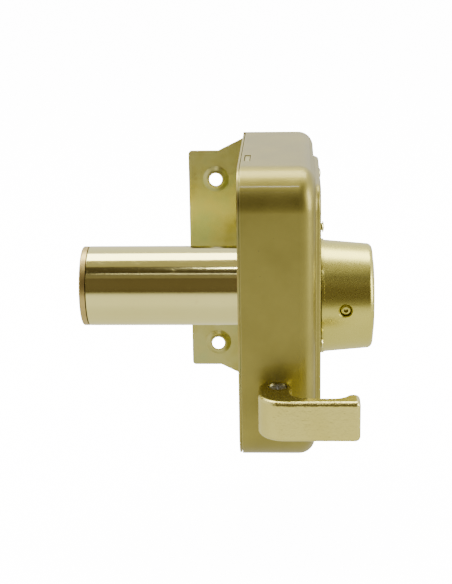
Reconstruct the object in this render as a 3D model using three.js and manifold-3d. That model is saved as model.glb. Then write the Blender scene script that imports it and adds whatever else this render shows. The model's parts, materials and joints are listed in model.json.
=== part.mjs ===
// Surface-mounted door deadlock, in millimetres.
// The lock sits on the room side of a door. X runs through the door, +X into the room, and the door's face is
// the plane x = 0. The bolt throws along +Y towards the door frame. Z is up.
// The origin is where the axis of the outside cylinder barrel meets the door's face.
import * as THREE from "three";
import { mergeVertices } from "three/addons/utils/BufferGeometryUtils.js";
import Module from "manifold-3d";

const wasm = await Module();
wasm.setup();

// ---- Driving dimensions ------------------------------------------------------------------------------------

const gap = 0.4; // between pieces that touch or slide on each other

// Case
const caseHeight = 127;
const caseWidth = 98; // from the side away from the frame to the door's edge
const caseDepth = 32.5; // from the door's face to the flat of the front
const caseWall = 1.5;
const caseCorner = 17; // radius of the two corners away from the frame
const caseEdge = 7; // rounding between the sides and the front
const caseStand = 1.2; // the case rim stands off the door by this, on the edge of the back plate
const axisBelowTop = 57.7; // barrel axis to the top of the case
const axisFromSide = 38; // barrel axis to the side away from the frame

// Raised panel pressed out of the front
const panelRise = 2.3;
const panelInset = 8;
const panelCorner = 10;

// Plates
const backThick = 2;
const edgeThick = 2.2;
const flangeReach = 26; // how far the edge flange laps over the door's edge
const flangeHalf = 52.9; // half the height of the flange's square part
const flangeMiddle = -3.8; // height of its middle
const flangeStraight = 12; // from the door's face to where the flange starts to narrow
const flangeFlare = 6; // how much taller the flange is where it meets the case
const flangeScrewIn = 13.2; // door's face to the screw holes
const flangeScrewSpacing = 81;
const flangeHole = 3; // radius
const dimpleRadius = 6.2;
const dimpleRise = 1.6;

// Outside cylinder
const barrelRadius = 17.5;
const barrelLength = 69.3; // with its end ring
const endRingWidth = 2.7;
const driveDrop = 4.7; // key axis below the barrel axis
const coreRadius = 9;
const coreLip = 0.9; // overlap that keeps a core in its cylinder
const outerCoreLength = 32;
const pinCount = 4; // pin stacks in each cylinder
const pinPitch = 3.9;
const pinRadius = 1.25;
const pinSpringWire = 0.2; // radius
const chamberRoof = 1.4; // metal left above the pin chambers
const keySlotWidth = 2.2;
const keySlotHeight = 9;
const tailWidth = 6.2;
const tailThick = 2;
const barrelScrewSpacing = 24;
const barrelScrewRadius = 2;

// Inside cylinder and its boss
const bossBaseRadius = 24.6;
const bossEndRadius = 22.6;
const bossLength = 22.3;
const bossRound = 2.2;
const bossFoot = 1.2; // height of the plain foot ring under the boss
const insertRadius = 17;
const insertProud = 0.5;
const spigotRadius = 11.5;
const spigotLength = 8.8;
const nutThick = 4;
const retainerRadius = 2.5; // screw in the side of the boss
const retainerFromPanel = 10.7;

// Hub, crank and bolt
const stroke = 16;
const crankSwing = 40; // degrees each side of upright
const hubRadius = 7;
const hubStubRadius = 5;
const crankPinRadius = 2.5;
const crankSlack = 0.5; // lets a straight slot follow the pin's arc
const boltBack = 8; // x of the bolt's face towards the door
const boltThick = 16;
const boltHalf = 18;
const boltTailThick = 4;
const boltClearance = 1; // from the hub to the bolt block, drawn back
const rollerRadius = 3;
const springRadius = 3;
const springWire = 0.45;

// Deadlocking trigger and lever
const triggerHeight = 10;
const triggerThick = 12;
const triggerOut = 10;
const triggerTravel = 9;
const triggerLength = 40;
const leverThick = 2.6;
const leverSwing = 4; // degrees it can drop before it rests on the bolt

// Pull handle
const handleAboveBottom = 29.3; // middle of the handle above the bottom of the case
const handleHeight = 17.4;
const handleLeft = 8.5;
const handleRight = 50.4;
const handleReach = 25; // out from the side of the case
const handleBar = 6.5; // thickness of the finger bar
const handleRound = 2.2;
const lugWidth = 14;
const lugGap = 0.8;
const slideThick = 6;
const slideHeight = 9;

// Fasteners
const postRadius = 4;
const postHeadRadius = 2.5;
const postHeadRise = 0.9;
const postScrewRadius = 1.8;

// ---- Derived places ----------------------------------------------------------------------------------------

const top = axisBelowTop;
const bottom = top - caseHeight;
const near = -axisFromSide; // the side away from the frame
const far = caseWidth - axisFromSide; // the door's edge, outer face of the edge plate
const edgeInner = far - edgeThick;
const panelFace = caseDepth + panelRise;
const panelInner = panelFace - caseWall;
const driveZ = -driveDrop;
const boreRadius = coreRadius + gap / 2;
const chamberRadius = pinRadius + gap / 2;
const keyCut = -0.5; // where the right key would hold the pins, from the key axis
const crankRadius = stroke / 2 / Math.sin(THREE.MathUtils.degToRad(crankSwing));
const boltNear = hubRadius + boltClearance + stroke;
const boltFar = far + stroke;
const boltFront = boltBack + boltThick;
const tailBack = boltBack + 1;
const tailFront = tailBack + boltTailThick;
const crankBack = tailFront + gap + 0.2;
const crankFront = crankBack + 3.4;
const boltTop = driveZ + boltHalf;
const boltBottom = driveZ - boltHalf;
const handleZ = bottom + handleAboveBottom;
const handleTop = handleZ + handleHeight / 2;
const handleFront = near - handleReach;
const lugX = handleLeft + lugWidth / 2;
const slideBack = crankBack;
const slideFront = slideBack + slideThick;
const studY = 3;
const studRadius = 3;
const springX = boltFront - springRadius;
const boltSpringZ = boltTop - 2 * springRadius + 0.4;
const anchorY = near + caseEdge + 6.5;
const triggerZ = boltTop + 15;
const triggerBack = boltBack + 1;
const triggerFar = far + triggerOut;
const triggerNear = triggerFar - triggerLength;
const triggerX = triggerBack + triggerThick / 2;
const triggerAnchorY = triggerNear - 22;
const boltSpringX = springX - gap;
const lugThick = 3;
const leverPivotY = near + 22;
const leverPivotZ = boltTop + 11;
const leverBack = triggerBack + triggerThick + gap;
const postNearY = near + 12;
const postFarY = far - 12;
const postTopZ = driveZ + 37.4;
const postLowZ = driveZ - 13.3;
const postFarTopZ = Math.min(top - 11, triggerZ + triggerHeight / 2 + postRadius + 3);
const postFarLowZ = boltBottom - postRadius - 6;

// ---- Materials ---------------------------------------------------------------------------------------------

const material = (color, roughness, metalness = 1) =>
  new THREE.MeshStandardMaterial({ color, roughness, metalness });
const satinBrass = material(0xa99c58, 0.42);
const polishedBrass = material(0xd8cd96, 0.14);
const rawBrass = material(0xb09a6a, 0.5);
const platedSteel = material(0xa39a62, 0.45);
const zincSteel = material(0xc4c4bc, 0.35);
const hardSteel = material(0x77787a, 0.3);
const springSteel = material(0x8b8c90, 0.28);

// ---- Solids ------------------------------------------------------------------------------------------------

// A closed three.js geometry as a manifold-3d solid, with its faces pointing out.
function solid(geometry) {
  const flat = geometry.index ? geometry.toNonIndexed() : geometry.clone();
  flat.deleteAttribute("normal");
  flat.deleteAttribute("uv");
  const merged = mergeVertices(flat, 1e-4);
  const position = merged.attributes.position.array;
  const kept = [];
  for (let i = 0; i < merged.index.count; i += 3) {
    const [a, b, c] = merged.index.array.subarray(i, i + 3);
    if (a !== b && b !== c && c !== a) kept.push(a, b, c);
  }
  const faces = new Uint32Array(kept);
  const make = () =>
    new wasm.Manifold(new wasm.Mesh({ numProp: 3, vertProperties: position, triVerts: faces }));
  const made = make();
  if (made.volume() > 0) return made;
  for (let i = 0; i < faces.length; i += 3) [faces[i + 1], faces[i + 2]] = [faces[i + 2], faces[i + 1]];
  return make();
}

function geometryOf(body) {
  const mesh = body.getMesh();
  const position = new Float32Array(mesh.numVert * 3);
  for (let i = 0; i < mesh.numVert; i += 1) {
    const start = i * mesh.numProp;
    position.set(mesh.vertProperties.subarray(start, start + 3), i * 3);
  }
  const geometry = new THREE.BufferGeometry();
  geometry.setAttribute("position", new THREE.BufferAttribute(position, 3));
  geometry.setIndex(new THREE.BufferAttribute(mesh.triVerts, 1));
  geometry.computeVertexNormals();
  return geometry;
}

const union = (...bodies) => bodies.reduce((a, b) => a.add(b));
const cut = (body, ...tools) => tools.reduce((a, b) => a.subtract(b), body);

function box(x0, x1, y0, y1, z0, z1) {
  const geometry = new THREE.BoxGeometry(x1 - x0, y1 - y0, z1 - z0);
  geometry.translate((x0 + x1) / 2, (y0 + y1) / 2, (z0 + z1) / 2);
  return solid(geometry);
}

// Round bars along each axis. The first two places are where the axis stands.
function rodX(radius, x0, x1, y, z, sides = 32) {
  const geometry = new THREE.CylinderGeometry(radius, radius, x1 - x0, sides);
  geometry.rotateZ(-Math.PI / 2).translate((x0 + x1) / 2, y, z);
  return solid(geometry);
}

function rodY(radius, y0, y1, x, z, sides = 24) {
  const geometry = new THREE.CylinderGeometry(radius, radius, y1 - y0, sides);
  geometry.translate(x, (y0 + y1) / 2, z);
  return solid(geometry);
}

function rodZ(radius, z0, z1, x, y, sides = 24) {
  const geometry = new THREE.CylinderGeometry(radius, radius, z1 - z0, sides);
  geometry.rotateX(Math.PI / 2).translate(x, y, (z0 + z1) / 2);
  return solid(geometry);
}

// A turned piece about an axis along X. Each point of the profile is [x, radius].
function turned(profile, y, z, sides = 40) {
  const points = profile.map(([x, radius]) => new THREE.Vector2(radius, x));
  const geometry = new THREE.LatheGeometry(points, sides);
  geometry.rotateZ(-Math.PI / 2).translate(0, y, z);
  return solid(geometry);
}

const alongX = new THREE.Matrix4().set(0, 0, 1, 0, 1, 0, 0, 0, 0, 1, 0, 0, 0, 0, 0, 1);
const alongY = new THREE.Matrix4().set(0, 1, 0, 0, 0, 0, 1, 0, 1, 0, 0, 0, 0, 0, 0, 1);

// An outline drawn in (y, z) and pushed along X, in (z, x) and along Y, or in (x, y) and along Z.
function pushed(shape, start, length, turn, bevel = 0, curveSegments = 4) {
  const points = [];
  for (const point of shape.getPoints(curveSegments)) {
    if (points.every((other) => other.distanceTo(point) > 1e-3)) points.push(point);
  }
  const geometry = new THREE.ExtrudeGeometry(new THREE.Shape(points), {
    depth: length - 2 * bevel,
    bevelEnabled: bevel > 0,
    bevelThickness: bevel,
    bevelSize: bevel,
    bevelOffset: -bevel,
    bevelSegments: 3,
  });
  geometry.translate(0, 0, start + bevel);
  if (turn) geometry.applyMatrix4(turn);
  return solid(geometry);
}

// A rectangle with its four corners rounded, radii in the order low-low, high-low, high-high, low-high.
function roundedRect(u0, u1, v0, v1, radii) {
  const [a, b, c, d] = radii;
  const shape = new THREE.Shape();
  shape.moveTo(u0 + a, v0);
  shape.lineTo(u1 - b, v0);
  if (b) shape.absarc(u1 - b, v0 + b, b, -Math.PI / 2, 0);
  shape.lineTo(u1, v1 - c);
  if (c) shape.absarc(u1 - c, v1 - c, c, 0, Math.PI / 2);
  shape.lineTo(u0 + d, v1);
  if (d) shape.absarc(u0 + d, v1 - d, d, Math.PI / 2, Math.PI);
  shape.lineTo(u0, v0 + a);
  if (a) shape.absarc(u0 + a, v0 + a, a, Math.PI, 1.5 * Math.PI);
  return shape;
}

// A helix about Z that climbs from z = 0.
class Helix extends THREE.Curve {
  constructor(radius, length, turns) {
    super();
    Object.assign(this, { radius, length, turns });
  }
  getPoint(t, target = new THREE.Vector3()) {
    const a = 2 * Math.PI * this.turns * t;
    return target.set(this.radius * Math.cos(a), this.radius * Math.sin(a), this.length * t);
  }
}

// A coil spring of a given outside radius and wire radius that fills a length, standing on z = 0.
function coil(radius, wire, length, turns, sides) {
  const section = new THREE.Shape();
  section.absarc(0, 0, wire, 0, 2 * Math.PI);
  const path = new Helix(radius - wire, length - 2 * wire, turns);
  const geometry = new THREE.ExtrudeGeometry(section, {
    steps: turns * (sides + 2),
    curveSegments: sides / 2,
    extrudePath: path,
  });
  return geometry.translate(0, 0, wire);
}

function springY(radius, wire, y0, y1, x, z, turns) {
  return solid(coil(radius, wire, y1 - y0, turns, 6).applyMatrix4(alongY).translate(x, y0, z));
}

function springZ(radius, wire, z0, z1, x, y, turns) {
  return solid(coil(radius, wire, z1 - z0, turns, 4).translate(x, y, z0));
}

const lock = new THREE.Group();

function node(name, body, finish) {
  const mesh = new THREE.Mesh(geometryOf(body), finish);
  mesh.name = name;
  lock.add(mesh);
}

// ---- Case, back plate and edge plate -----------------------------------------------------------------------

// The case outline in (y, z), inset by a given amount. It runs past the frame side, where it is cut off.
function caseOutline(inset) {
  const radius = caseCorner - inset;
  return roundedRect(near + inset, far + 20, bottom + inset, top - inset, [radius, 0, 0, radius]);
}

function panelOutline(inset) {
  const radius = panelCorner - inset;
  const ends = panelInset + inset;
  return roundedRect(near + ends, edgeInner - ends, bottom + ends, top - ends, [radius, radius, radius, radius]);
}

// The outer or inner skin of the case: a pushed outline with a rounded front edge and the raised panel on it.
function caseSkin(inset) {
  const back = -20;
  const round = caseEdge - inset;
  const front = caseDepth - inset;
  const drum = pushed(caseOutline(inset), back, front - back, alongX, round);
  const rise = panelRise * 2;
  const panel = pushed(panelOutline(inset), front + panelRise - rise, rise, alongX, panelRise - 0.3);
  return union(drum, panel);
}

const postPlaces = [
  [postNearY, postTopZ],
  [postNearY, postLowZ],
  [postFarY, postFarTopZ],
  [postFarY, postFarLowZ],
];
const tabBack = backThick + 0.8;
const tabFront = tabBack + backThick;
const tabNear = near + 27;
const tabFar = tabNear + 12.4;
const slideSlot = box(
  slideBack - gap, slideFront + gap, near - 5, near + 5,
  handleZ - slideHeight / 2 - gap, handleZ + slideHeight / 2 + gap,
);

function caseShell() {
  const outside = box(-10, panelFace + 5, near - 5, edgeInner - gap, bottom - 5, top + 5);
  const behindDoor = box(-30, caseStand, near - 5, far + 30, bottom - 5, top + 5);
  let shell = cut(caseSkin(0), caseSkin(caseWall), behindDoor).intersect(outside);
  for (const [y, z] of postPlaces) {
    shell = cut(shell, rodX(postHeadRadius - 0.5, caseDepth - 5, panelFace + 2, y, z, 20));
  }
  const spigotHole = rodX(spigotRadius + gap, caseDepth - 5, panelFace + 2, 0, driveZ, 40);
  const tabSlots = box(
    tabBack - 1, tabFront + 1, tabNear - 0.6, tabFar + 0.6, bottom - 5, top + 5,
  );
  return cut(shell, spigotHole, tabSlots, slideSlot);
}
node("case_shell", caseShell(), satinBrass);

const tenons = [30, -40].map((z) => driveZ + z);
const tenonHalf = 5;
const doorScrewHole = 2.6; // radius
const doorScrews = [
  [far - 40, top - 12],
  [far - 40, bottom + 14],
  [near + 12, bottom + 14],
];

function backPlate() {
  const inset = caseWall + gap;
  const radius = caseCorner - inset;
  const farEdge = edgeInner - gap;
  const outline = roundedRect(near + inset, farEdge, bottom + inset, top - inset, [radius, 0, 0, radius]);
  const rimRadius = caseCorner - gap;
  const rim = roundedRect(near + gap, farEdge, bottom + gap, top - gap, [rimRadius, 0, 0, rimRadius]);
  let plate = union(pushed(outline, 0, backThick, alongX), pushed(rim, 0, caseStand - gap, alongX));
  for (const z of tenons) {
    plate = union(plate, box(0, backThick, farEdge - 1, far - 0.2, z - tenonHalf, z + tenonHalf));
  }
  for (const end of [1, -1]) {
    const edge = end > 0 ? top - inset : bottom + inset;
    const [low, high] = end > 0 ? [edge - 3, edge] : [edge, edge + 3];
    const [outLow, outHigh] = end > 0 ? [edge - 3, top - 0.3] : [bottom + 0.3, edge + 3];
    const stem = box(backThick - 0.5, tabFront, tabNear, tabFar, low, high);
    const tab = box(tabBack, tabFront, tabNear, tabFar, outLow, outHigh);
    plate = union(plate, stem, tab);
  }
  plate = cut(plate, rodX(hubStubRadius + gap, -1, backThick + 1, 0, driveZ));
  for (const side of [1, -1]) {
    const y = (side * barrelScrewSpacing) / 2;
    plate = cut(plate, rodX(barrelScrewRadius + gap, -1, backThick + 1, y, 0, 20));
  }
  for (const [y, z] of postPlaces) {
    plate = cut(plate, rodX(postScrewRadius + gap, -1, backThick + 1, y, z, 20));
  }
  for (const [y, z] of doorScrews) {
    plate = cut(plate, rodX(doorScrewHole, -1, backThick + 1, y, z, 20));
  }
  const boltLug = springLug(boltSpringX, boltSpringZ, anchorY, 14);
  const triggerLug = springLug(triggerX, triggerZ, triggerAnchorY, 5);
  return union(plate, boltLug, triggerLug);
}

// A lug that stands up from the back plate with a rod that carries a spring.
function springLug(x, z, y0, rodLength) {
  const half = springRadius + 0.6;
  const rodRadius = springRadius - 2 * springWire - 0.5;
  const lug = box(backThick - 0.5, x + half, y0, y0 + lugThick, z - half, z + half);
  return union(lug, rodY(rodRadius, y0 + 1, y0 + lugThick + rodLength, x, z, 14));
}
node("back_plate", backPlate(), platedSteel);

const boltHole = box(
  boltBack - gap, boltFront + gap, edgeInner - 2, far + 2, boltBottom - gap, boltTop + gap,
);
const triggerHole = box(
  triggerBack - gap, triggerBack + triggerThick + gap, edgeInner - 2, far + 2,
  triggerZ - triggerHeight / 2 - gap, triggerZ + triggerHeight / 2 + gap,
);

// Outline in (z, x): the flange that laps the door's edge, then the part that closes the case.
function edgePlate() {
  const round = caseEdge;
  const low = flangeMiddle - flangeHalf;
  const high = flangeMiddle + flangeHalf;
  const corner = 1.6;
  const shape = new THREE.Shape();
  shape.moveTo(bottom, 0);
  shape.lineTo(low - flangeFlare, 0);
  shape.lineTo(low, -flangeStraight);
  shape.lineTo(low, -flangeReach + corner);
  shape.absarc(low + corner, -flangeReach + corner, corner, Math.PI, 1.5 * Math.PI);
  shape.lineTo(high - corner, -flangeReach);
  shape.absarc(high - corner, -flangeReach + corner, corner, -Math.PI / 2, 0);
  shape.lineTo(high, -flangeStraight);
  shape.lineTo(high + flangeFlare, 0);
  shape.lineTo(top, 0);
  shape.lineTo(top, caseDepth - round);
  shape.absarc(top - round, caseDepth - round, round, 0, Math.PI / 2);
  shape.lineTo(bottom + round, caseDepth);
  shape.absarc(bottom + round, caseDepth - round, round, Math.PI / 2, Math.PI);
  shape.closePath();
  let plate = cut(pushed(shape, edgeInner, edgeThick, alongY), boltHole, triggerHole);
  for (const z of tenons) {
    const slot = box(-gap, backThick + gap, edgeInner - 1, far + 1, z - tenonHalf - gap, z + tenonHalf + gap);
    plate = cut(plate, slot);
  }
  for (const side of [1, -1]) {
    const z = driveZ + (side * flangeScrewSpacing) / 2;
    plate = dimpled(plate, -flangeScrewIn, z);
  }
  return plate;
}

// A screw hole pressed towards the door, so that a countersunk head sits flush on the frame side.
function dimpled(plate, x, z) {
  const cone = (base, tip, y0, y1) => {
    const geometry = new THREE.CylinderGeometry(base, tip, y1 - y0, 24);
    geometry.translate(x, (y0 + y1) / 2, z);
    return solid(geometry);
  };
  const raised = cone(dimpleRadius, flangeHole + 1.1, edgeInner - dimpleRise, edgeInner + 0.2);
  const sink = cone(dimpleRadius + 0.2, flangeHole - 0.9, edgeInner - dimpleRise - 0.6, far + 0.01);
  const hole = rodY(flangeHole, edgeInner - 5, far + 1, x, z, 24);
  return cut(union(plate, raised), sink, hole);
}
node("edge_plate", edgePlate(), platedSteel);

// Posts riveted through the front, with screws into them through the back plate.
const postNames = ["near_upper", "near_lower", "far_upper", "far_lower"];
postPlaces.forEach(([y, z], i) => {
  const neck = postHeadRadius - 0.5 - gap;
  const face = panelFace;
  const seat = caseDepth - caseWall - gap;
  const post = turned(
    [
      [backThick + gap, 0],
      [backThick + gap, postRadius],
      [seat, postRadius],
      [seat, neck],
      [face + gap, neck],
      [face + gap, postHeadRadius],
      [face + gap + postHeadRise * 0.6, postHeadRadius * 0.8],
      [face + gap + postHeadRise, 0],
    ],
    y, z, 18,
  );
  const threadEnd = backThick + 12;
  const bored = cut(post, rodX(postScrewRadius + gap, 0, threadEnd, y, z, 16));
  node(`cover_post_${postNames[i]}`, bored, polishedBrass);
  const headFront = -0.05;
  const screw = turned(
    [
      [headFront, 0],
      [headFront, postScrewRadius],
      [threadEnd - 2, postScrewRadius],
      [threadEnd - 1, 0],
    ],
    y, z, 16,
  );
  node(`cover_screw_${postNames[i]}`, screw, zincSteel);
});

// ---- Outside cylinder --------------------------------------------------------------------------------------

const barrelEnd = -barrelLength;
const ringBack = barrelEnd + endRingWidth;
const barrelBack = -gap;
const outerFace = barrelEnd + 0.6;
const outerCoreBack = ringBack + gap + outerCoreLength;
const tailBore = tailWidth / 2 + 1;
const barrelScrewDepth = 14;

function barrel() {
  let body = rodX(barrelRadius, ringBack + gap, barrelBack, 0, 0, 56);
  const bore = rodX(boreRadius, ringBack - 1, outerCoreBack + gap, 0, driveZ, 40);
  const tail = rodX(tailBore, ringBack, 1, 0, driveZ, 24);
  const chambers = stackPlaces(outerFace, ringBack + gap - outerFace, 1)
    .map((x) => rodZ(chamberRadius, driveZ + coreRadius - 1, barrelRadius - chamberRoof, x, 0, 14));
  body = cut(body, bore, tail, ...chambers);
  for (const side of [1, -1]) {
    const y = (side * barrelScrewSpacing) / 2;
    body = cut(body, rodX(barrelScrewRadius + gap, -barrelScrewDepth, 1, y, 0, 16));
  }
  return body;
}
node("barrel", barrel(), polishedBrass);

const endRing = turned(
  [
    [barrelEnd, barrelRadius - 0.5],
    [barrelEnd + 0.5, barrelRadius],
    [ringBack, barrelRadius],
    [ringBack, 0],
    [barrelEnd, 0],
    [barrelEnd, barrelRadius - 0.5],
  ].reverse(),
  0, 0, 56,
);
const ringHole = rodX(coreRadius - coreLip + gap, barrelEnd - 1, ringBack + 1, 0, driveZ, 40);
node("barrel_end_ring", cut(endRing, ringHole), rawBrass);

[1, -1].forEach((side, i) => {
  const y = (side * barrelScrewSpacing) / 2;
  const headBack = backThick + gap;
  const screw = turned(
    [
      [1.5 - barrelScrewDepth, 0],
      [2.5 - barrelScrewDepth, barrelScrewRadius],
      [headBack, barrelScrewRadius],
      [headBack, barrelScrewRadius * 1.9],
      [headBack + 1.6, barrelScrewRadius * 1.7],
      [headBack + 2.2, 0],
    ],
    y, 0, 20,
  );
  const slot = box(headBack + 1.3, headBack + 4, y - 0.5, y + 0.5, -5, 5);
  node(`barrel_screw_${i + 1}`, cut(screw, slot), zincSteel);
});

// A core is a slotted drum with a row of pin bores down to its key slot. It is drawn from its face inwards:
// face is the x of its outer end, and inward is +1 or -1.
function core(face, lip, length, inward, stacks) {
  const at = (distance) => face + inward * distance;
  const profile = [
    [at(0), 0],
    [at(0), coreRadius - coreLip],
    [at(lip), coreRadius - coreLip],
    [at(lip), coreRadius],
    [at(length), coreRadius],
    [at(length), 0],
  ];
  const halfKey = keySlotHeight / 2;
  const halfSlot = tailWidth / 2 + gap / 2;
  const key = span(at(-1), at(length - 3), (a, b) =>
    box(a, b, -keySlotWidth / 2, keySlotWidth / 2, driveZ - halfKey, driveZ + halfKey),
  );
  const tailSlot = span(at(length - 2), at(length + 1), (a, b) =>
    box(a, b, -tailThick / 2 - gap / 2, tailThick / 2 + gap / 2, driveZ - halfSlot, driveZ + halfSlot),
  );
  const bores = stacks.map((x) => rodZ(chamberRadius, driveZ + keyCut, driveZ + coreRadius + 1, x, 0, 14));
  return cut(turned(profile, 0, driveZ, 36), key, tailSlot, ...bores);
}

// Calls make with the two places in rising order.
function span(a, b, make) {
  return make(Math.min(a, b), Math.max(a, b));
}

// The places of the pin stacks along a core, counted inwards from behind its lip.
function stackPlaces(face, lip, inward) {
  const first = lip + 1 + chamberRadius;
  return Array.from({ length: pinCount }, (_, i) => face + inward * (first + i * pinPitch));
}

// Everything inside one key cylinder: the core, its tailpiece and the pin stacks. The stacks stand as a right
// key would hold them, with every break level with the edge of the core. roof is where their chambers end.
function cylinderWorks(label, face, lip, length, inward, tailEnd, roof) {
  const at = (distance) => face + inward * distance;
  const stacks = stackPlaces(face, lip, inward);
  node(`${label}_core`, core(face, lip, length, inward, stacks), rawBrass);
  const tail = span(at(length - 1.6), tailEnd, (a, b) =>
    box(a, b, -tailThick / 2, tailThick / 2, driveZ - tailWidth / 2, driveZ + tailWidth / 2),
  );
  node(`${label}_tailpiece`, tail, zincSteel);
  const breakZ = driveZ + coreRadius;
  const driverFoot = breakZ + gap + 0.1;
  const driverTop = driverFoot + (roof - driverFoot) * 0.42;
  stacks.forEach((x, i) => {
    const keyPin = rodZ(pinRadius, driveZ + keyCut + 0.3, breakZ - gap, x, 0, 12);
    node(`${label}_key_pin_${i + 1}`, keyPin, rawBrass);
    node(`${label}_driver_pin_${i + 1}`, rodZ(pinRadius, driverFoot, driverTop, x, 0, 12), zincSteel);
    const spring = springZ(pinRadius - 0.05, pinSpringWire, driverTop + 0.2, roof - 0.2, x, 0, 3);
    node(`${label}_pin_spring_${i + 1}`, spring, springSteel);
  });
}

const outerLip = ringBack + gap - outerFace;
const hubMiddle = (backThick + caseDepth) / 2;
const barrelRoof = barrelRadius - chamberRoof;
cylinderWorks("outer", outerFace, outerLip, outerLip + outerCoreLength, 1, hubMiddle - 1, barrelRoof);

// ---- Inside cylinder and boss ------------------------------------------------------------------------------

const bossBack = panelFace + gap;
const bossEnd = bossBack + bossLength;
const spigotEnd = bossBack - spigotLength;
const insertBack = bossBack + 2.2;
const insertFace = bossEnd + insertProud;
const innerFace = insertFace - 0.3;
const innerLip = innerFace - (insertFace - 1.5 - gap);
const insertRoof = driveZ + insertRadius - chamberRoof;
const retainerX = panelFace + retainerFromPanel;
const retainerTip = insertRadius + 0.7;

function boss() {
  const foot = bossBack + bossFoot;
  const profile = [
    [spigotEnd, 0],
    [spigotEnd, spigotRadius],
    [bossBack, spigotRadius],
    [bossBack, bossBaseRadius + 0.5],
    [foot, bossBaseRadius + 0.5],
    [foot, bossBaseRadius],
  ];
  for (let i = 0; i <= 5; i += 1) {
    const a = (i / 5) * (Math.PI / 2);
    profile.push([
      bossEnd - bossRound * (1 - Math.sin(a)),
      bossEndRadius - bossRound * (1 - Math.cos(a)),
    ]);
  }
  profile.push([bossEnd, 0]);
  const body = turned(profile, 0, driveZ, 44);
  const seat = rodX(insertRadius + gap, insertBack - gap, bossEnd + 1, 0, driveZ, 40);
  const tail = rodX(tailBore, spigotEnd - 1, bossEnd, 0, driveZ, 24);
  const stub = rodX(hubStubRadius + gap, spigotEnd - 1, spigotEnd + 5, 0, driveZ, 32);
  const screwHole = rodY(retainerRadius + gap / 2, -bossBaseRadius - 5, 0, retainerX, driveZ, 24);
  const chamfer = new THREE.CylinderGeometry(retainerRadius + 0.2, retainerRadius + 1.4, 1.6, 24);
  chamfer.translate(retainerX, -bossBaseRadius + 0.9, driveZ);
  return cut(body, seat, tail, stub, screwHole, solid(chamfer));
}
node("inner_boss", boss(), polishedBrass);

function bossNut() {
  const front = panelInner - gap;
  const geometry = new THREE.CylinderGeometry(spigotRadius + 4.5, spigotRadius + 4.5, nutThick, 6);
  geometry.rotateZ(-Math.PI / 2).translate(front - nutThick / 2, 0, driveZ);
  return cut(solid(geometry), rodX(spigotRadius + gap, front - nutThick - 1, front + 1, 0, driveZ, 40));
}
node("boss_nut", bossNut(), zincSteel);

function innerInsert() {
  const lipBack = insertFace - 1.5;
  const body = turned(
    [
      [insertBack, 0],
      [insertBack, insertRadius],
      [insertFace - 0.6, insertRadius],
      [insertFace, insertRadius - 0.6],
      [insertFace, 0],
    ],
    0, driveZ, 40,
  );
  const bore = rodX(boreRadius, insertBack - 1, lipBack, 0, driveZ, 36);
  const mouth = rodX(coreRadius - coreLip + gap, lipBack - 1, insertFace + 1, 0, driveZ, 40);
  const chambers = stackPlaces(innerFace, innerLip, -1)
    .map((x) => rodZ(chamberRadius, driveZ + coreRadius - 1, insertRoof, x, 0, 14));
  return cut(body, bore, mouth, ...chambers);
}
node("inner_cylinder_body", innerInsert(), rawBrass);
cylinderWorks("inner", innerFace, innerLip, innerFace - insertBack - gap, -1, hubMiddle + 1, insertRoof);

function retainer() {
  const outer = -bossBaseRadius + 1.8;
  const screw = rodY(retainerRadius - gap / 2, outer, -retainerTip, retainerX, driveZ, 20);
  const socket = rodY(1.1, outer - 1, outer + 2, retainerX, driveZ, 6);
  return cut(screw, socket);
}
node("boss_retaining_screw", retainer(), rawBrass);

// ---- Hub, bolt and springs ---------------------------------------------------------------------------------

const hubShoulder = spigotEnd - 0.6;
const hubRear = 0.2;
const restAngle = THREE.MathUtils.degToRad(crankSwing);
const pinY = crankRadius * Math.sin(restAngle);
const pinZ = driveZ + crankRadius * Math.cos(restAngle);

function hub() {
  const body = turned(
    [
      [hubRear, 0],
      [hubRear, hubStubRadius],
      [backThick + 1.5, hubStubRadius],
      [backThick + 1.5, hubRadius],
      [hubShoulder, hubRadius],
      [hubShoulder, hubStubRadius],
      [spigotEnd + 4.4, hubStubRadius],
      [spigotEnd + 4.4, 0],
    ],
    0, driveZ, 32,
  );
  const arm = new THREE.BoxGeometry(crankFront - crankBack, 2 * crankPinRadius + 2.4, crankRadius);
  arm.translate((crankBack + crankFront) / 2, 0, crankRadius / 2);
  arm.rotateX(-restAngle).translate(0, 0, driveZ);
  const eye = rodX(crankPinRadius + 1.2, crankBack, crankFront, pinY, pinZ, 24);
  const pin = rodX(crankPinRadius, tailBack - 0.4, crankFront, pinY, pinZ, 24);
  const slot = box(
    hubRear - 1, caseDepth + 10, -tailThick / 2 - 0.3, tailThick / 2 + 0.3,
    driveZ - tailWidth / 2 - 0.3, driveZ + tailWidth / 2 + 0.3,
  );
  return cut(union(body, solid(arm), eye, pin), slot);
}
node("crank_hub", hub(), zincSteel);

const rollerPlaces = [driveZ + boltHalf / 2, driveZ - boltHalf / 2];

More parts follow.
